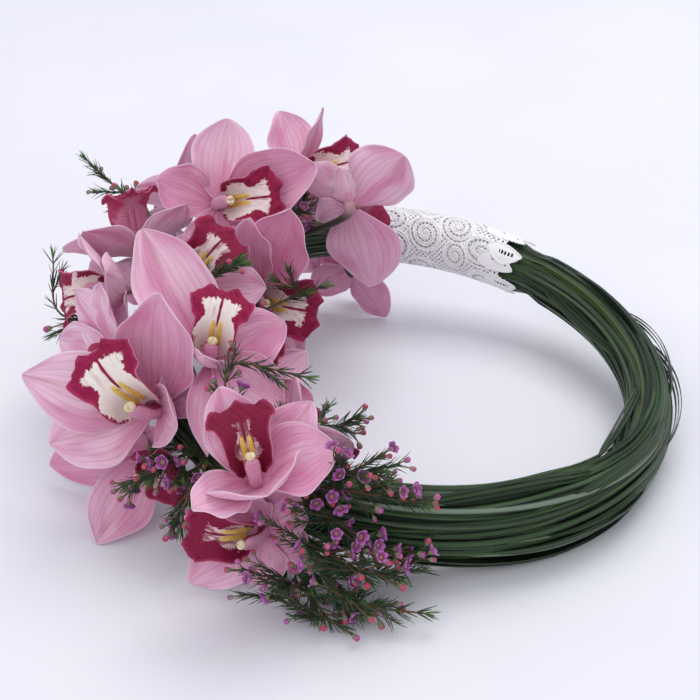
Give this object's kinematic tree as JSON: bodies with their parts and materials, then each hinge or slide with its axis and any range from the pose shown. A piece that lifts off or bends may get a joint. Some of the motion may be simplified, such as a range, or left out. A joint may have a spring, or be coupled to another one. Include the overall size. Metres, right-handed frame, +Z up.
{
  "type": "bridal bouquet",
  "caption": "Wreath-shaped bridal bouquet: a hoop of bound grass with a lace-wrapped handle, orchid blooms and waxflower sprays.",
  "frame": {"origin": "centre of the bouquet's bounding box at the table, on its lowest plane", "axes": "+Z up from the table; +X towards the bare grass side of the hoop; +Y towards the lace handle at the back"},
  "size_m": [0.362, 0.3495, 0.1549],
  "materials": {
    "binding_band": "matt florist tape",
    "grass_hoop": "semi-gloss grass blades",
    "lace_wrap": "matt cotton lace",
    "lip_back_right": "velvety petal",
    "lip_back_top": "velvety petal",
    "lip_centre": "velvety petal",
    "lip_front_left": "velvety petal",
    "lip_front_low": "velvety petal",
    "lip_front_right": "velvety petal",
    "lip_handle_side": "velvety petal",
    "lip_inner_front": "velvety petal",
    "lip_inner_middle": "velvety petal",
    "lip_left_high": "velvety petal",
    "lip_left_low": "velvety petal",
    "lip_left_side": "velvety petal",
    "lip_middle": "velvety petal",
    "lip_outer_back": "velvety petal",
    "lip_outer_high": "velvety petal",
    "lip_outer_left": "velvety petal",
    "lip_outer_low": "velvety petal",
    "lip_under_handle": "velvety petal",
    "lip_under_middle": "velvety petal",
    "orchid_back_right": "soft waxy petals",
    "orchid_back_top": "soft waxy petals",
    "orchid_centre": "soft waxy petals",
    "orchid_front_left": "soft waxy petals",
    "orchid_front_low": "soft waxy petals",
    "orchid_front_right": "soft waxy petals",
    "orchid_handle_side": "soft waxy petals",
    "orchid_inner_front": "soft waxy petals",
    "orchid_inner_middle": "soft waxy petals",
    "orchid_left_high": "soft waxy petals",
    "orchid_left_low": "soft waxy petals",
    "orchid_left_side": "soft waxy petals",
    "orchid_middle": "soft waxy petals",
    "orchid_outer_back": "soft waxy petals",
    "orchid_outer_high": "soft waxy petals",
    "orchid_outer_left": "soft waxy petals",
    "orchid_outer_low": "soft waxy petals",
    "orchid_under_handle": "soft waxy petals",
    "orchid_under_middle": "soft waxy petals",
    "ribbon_wrap": "satin ribbon",
    "spray_back": "waxflower sprig",
    "spray_centre": "waxflower sprig",
    "spray_front_a": "waxflower sprig",
    "spray_front_b": "waxflower sprig",
    "spray_front_c": "waxflower sprig",
    "spray_front_d": "waxflower sprig",
    "spray_front_e": "waxflower sprig",
    "spray_front_f": "waxflower sprig",
    "spray_inner": "waxflower sprig",
    "spray_left_high": "waxflower sprig",
    "spray_left_side": "waxflower sprig",
    "spray_low_a": "waxflower sprig",
    "spray_low_b": "waxflower sprig",
    "spray_over_front": "waxflower sprig",
    "spray_right": "waxflower sprig"
  },
  "bodies": {
    "root": {"binding_band": "binding_band", "grass_hoop": "grass_hoop", "lace_wrap": "lace_wrap", "lip_back_right": "lip_back_right", "lip_back_top": "lip_back_top", "lip_centre": "lip_centre", "lip_front_left": "lip_front_left", "lip_front_low": "lip_front_low", "lip_front_right": "lip_front_right", "lip_handle_side": "lip_handle_side", "lip_inner_front": "lip_inner_front", "lip_inner_middle": "lip_inner_middle", "lip_left_high": "lip_left_high", "lip_left_low": "lip_left_low", "lip_left_side": "lip_left_side", "lip_middle": "lip_middle", "lip_outer_back": "lip_outer_back", "lip_outer_high": "lip_outer_high", "lip_outer_left": "lip_outer_left", "lip_outer_low": "lip_outer_low", "lip_under_handle": "lip_under_handle", "lip_under_middle": "lip_under_middle", "orchid_back_right": "orchid_back_right", "orchid_back_top": "orchid_back_top", "orchid_centre": "orchid_centre", "orchid_front_left": "orchid_front_left", "orchid_front_low": "orchid_front_low", "orchid_front_right": "orchid_front_right", "orchid_handle_side": "orchid_handle_side", "orchid_inner_front": "orchid_inner_front", "orchid_inner_middle": "orchid_inner_middle", "orchid_left_high": "orchid_left_high", "orchid_left_low": "orchid_left_low", "orchid_left_side": "orchid_left_side", "orchid_middle": "orchid_middle", "orchid_outer_back": "orchid_outer_back", "orchid_outer_high": "orchid_outer_high", "orchid_outer_left": "orchid_outer_left", "orchid_outer_low": "orchid_outer_low", "orchid_under_handle": "orchid_under_handle", "orchid_under_middle": "orchid_under_middle", "ribbon_wrap": "ribbon_wrap", "spray_back": "spray_back", "spray_centre": "spray_centre", "spray_front_a": "spray_front_a", "spray_front_b": "spray_front_b", "spray_front_c": "spray_front_c", "spray_front_d": "spray_front_d", "spray_front_e": "spray_front_e", "spray_front_f": "spray_front_f", "spray_inner": "spray_inner", "spray_left_high": "spray_left_high", "spray_left_side": "spray_left_side", "spray_low_a": "spray_low_a", "spray_low_b": "spray_low_b", "spray_over_front": "spray_over_front", "spray_right": "spray_right"}
  },
  "joints": []
}
